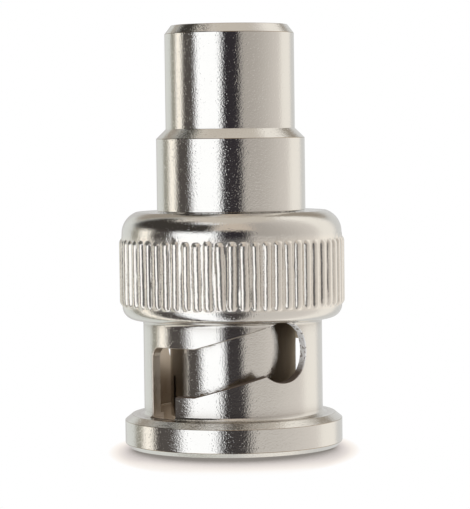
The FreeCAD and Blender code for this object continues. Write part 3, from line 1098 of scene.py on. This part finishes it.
# %% Studio: who sees what
rays = add(sky, "ShaderNodeLightPath").outputs
seen = math_node(sky, "ADD", rays["Is Glossy Ray"], rays["Is Transmission Ray"], clamp=True)
even = mix_colors(sky, seen, (1.0, 1.0, 1.0), view)
background = add(sky, "ShaderNodeBackground", {"Color": even}).outputs[0]
add(sky, "ShaderNodeOutputWorld", {"Surface": background})
print("world", len(sky.nodes), "nodes")

# %% [markdown]
# The floor is a pale sheet. Polished metal darkens what lies close to its foot, so a tight shade
# hugs the flange and is soon gone. This shade is painted into the sheet's colour. An ambient
# occlusion mask gives it, opened only where the object stands, and a colour ramp turns the mask
# into warm greys. The mask leans backwards, so that the front edge gets the narrow shade that the
# photograph has. Beyond an oval round the foot the sheet is white.

# %% Floor sheet
floor_reach = 3.0
floor_mesh = bpy.data.meshes.new("floor")
floor_mesh.from_pydata([(-floor_reach, -floor_reach, 0), (floor_reach, -floor_reach, 0),
                        (floor_reach, floor_reach, 0), (-floor_reach, floor_reach, 0)],
                       [], [(0, 1, 2, 3)])
floor = bpy.data.objects.new("floor", floor_mesh)
bpy.context.scene.collection.objects.link(floor)
floor.visible_glossy = False
print("floor", 2 * floor_reach, "m across")

# %% [markdown]
# The shade comes in two steps. The occlusion looks backwards from each point of the sheet, and the
# oval cuts it off. Only the camera sees this toned sheet: all other rays meet a plain diffuse one.

# %% Floor shade
pale = bpy.data.materials.new("pale floor")
pale.use_nodes = True
ground = pale.node_tree
ground.nodes.clear()
lean = add(ground, "ShaderNodeCombineXYZ", {"Y": 0.995, "Z": 0.1}).outputs["Vector"]
inputs = {"Distance": 8 * mm, "Normal": lean}
near = add(ground, "ShaderNodeAmbientOcclusion", inputs, samples=32).outputs["AO"]
oval_x = 7.35
oval_y = 11.5
oval_back = 2.5
place = add(ground, "ShaderNodeTexCoord").outputs["Object"]
squeeze = (1 / (oval_x * mm), 1 / (oval_y * mm), 0.0)
inputs = {0: place, 1: squeeze, 2: (0.0, oval_back / oval_y, 0.0)}
oval = add(ground, "ShaderNodeVectorMath", inputs, operation="MULTIPLY_ADD").outputs["Vector"]
rim = add(ground, "ShaderNodeVectorMath", {0: oval}, operation="LENGTH").outputs["Value"]
aside = ramp(ground, rim, 0.84, 1.09, 0.6, 0.945, smooth=False)
mask = math_node(ground, "MAXIMUM", near, aside)
tint = add(ground, "ShaderNodeValToRGB", {"Fac": mask})
steps = [(0.42, (0.06, 0.05, 0.045)), (0.62, (0.27, 0.25, 0.23)), (0.74, (0.67, 0.62, 0.60)),
         (0.84, (0.91, 0.85, 0.80)), (0.9, (0.98, 0.94, 0.90)), (0.945, (1.0, 1.0, 1.0))]
for place, _ in steps[1:-1]:
    tint.color_ramp.elements.new(place)
for stop, (place, color) in zip(tint.color_ramp.elements, steps):
    stop.position = place
    stop.color = (*color, 1.0)
diffuse = add(ground, "ShaderNodeBsdfDiffuse", {"Color": (0.85, 0.87, 0.88)}).outputs[0]
# The camera sees the toned sheet as a glow that carries the painted shade.
painted_floor_shade = add(ground, "ShaderNodeEmission", {"Color": tint.outputs["Color"]}).outputs[0]
straight = add(ground, "ShaderNodeLightPath").outputs["Is Camera Ray"]
both = add(ground, "ShaderNodeMixShader", {0: straight, 1: diffuse, 2: painted_floor_shade}).outputs[0]
add(ground, "ShaderNodeOutputMaterial", {"Surface": both})
floor_mesh.materials.append(pale)
print("shade within", oval_x, "mm beside the axis")

# %% [markdown]
# The camera is a long lens a little above the middle of the object. Its height and distance come
# from how the round edges open into ellipses: they are flat where the eye is level with them.

# %% Camera
photo_w = 470
sensor_w = 36.0
focal_px = 2489.0
eye_distance = 160.0
eye_height = 20.27
look_down = math.radians(2.855)
look_right = 3.2 / focal_px
roll = -0.0125
camera_data = bpy.data.cameras.new("camera")
camera_data.sensor_fit = "HORIZONTAL"
camera_data.sensor_width = sensor_w
camera_data.lens = focal_px / photo_w * sensor_w
camera_data.clip_start = 0.01
camera = bpy.data.objects.new("camera", camera_data)
bpy.context.scene.collection.objects.link(camera)
camera.location = (0.0, -eye_distance * mm, eye_height * mm)
turn = Matrix.Rotation(-look_right, 4, "Z") @ Matrix.Rotation(math.pi / 2 - look_down, 4, "X")
camera.rotation_euler = (turn @ Matrix.Rotation(roll, 4, "Z")).to_euler()
bpy.context.scene.camera = camera
bpy.context.scene.view_settings.view_transform = "Standard"
print("lens", round(camera_data.lens, 1), "mm")
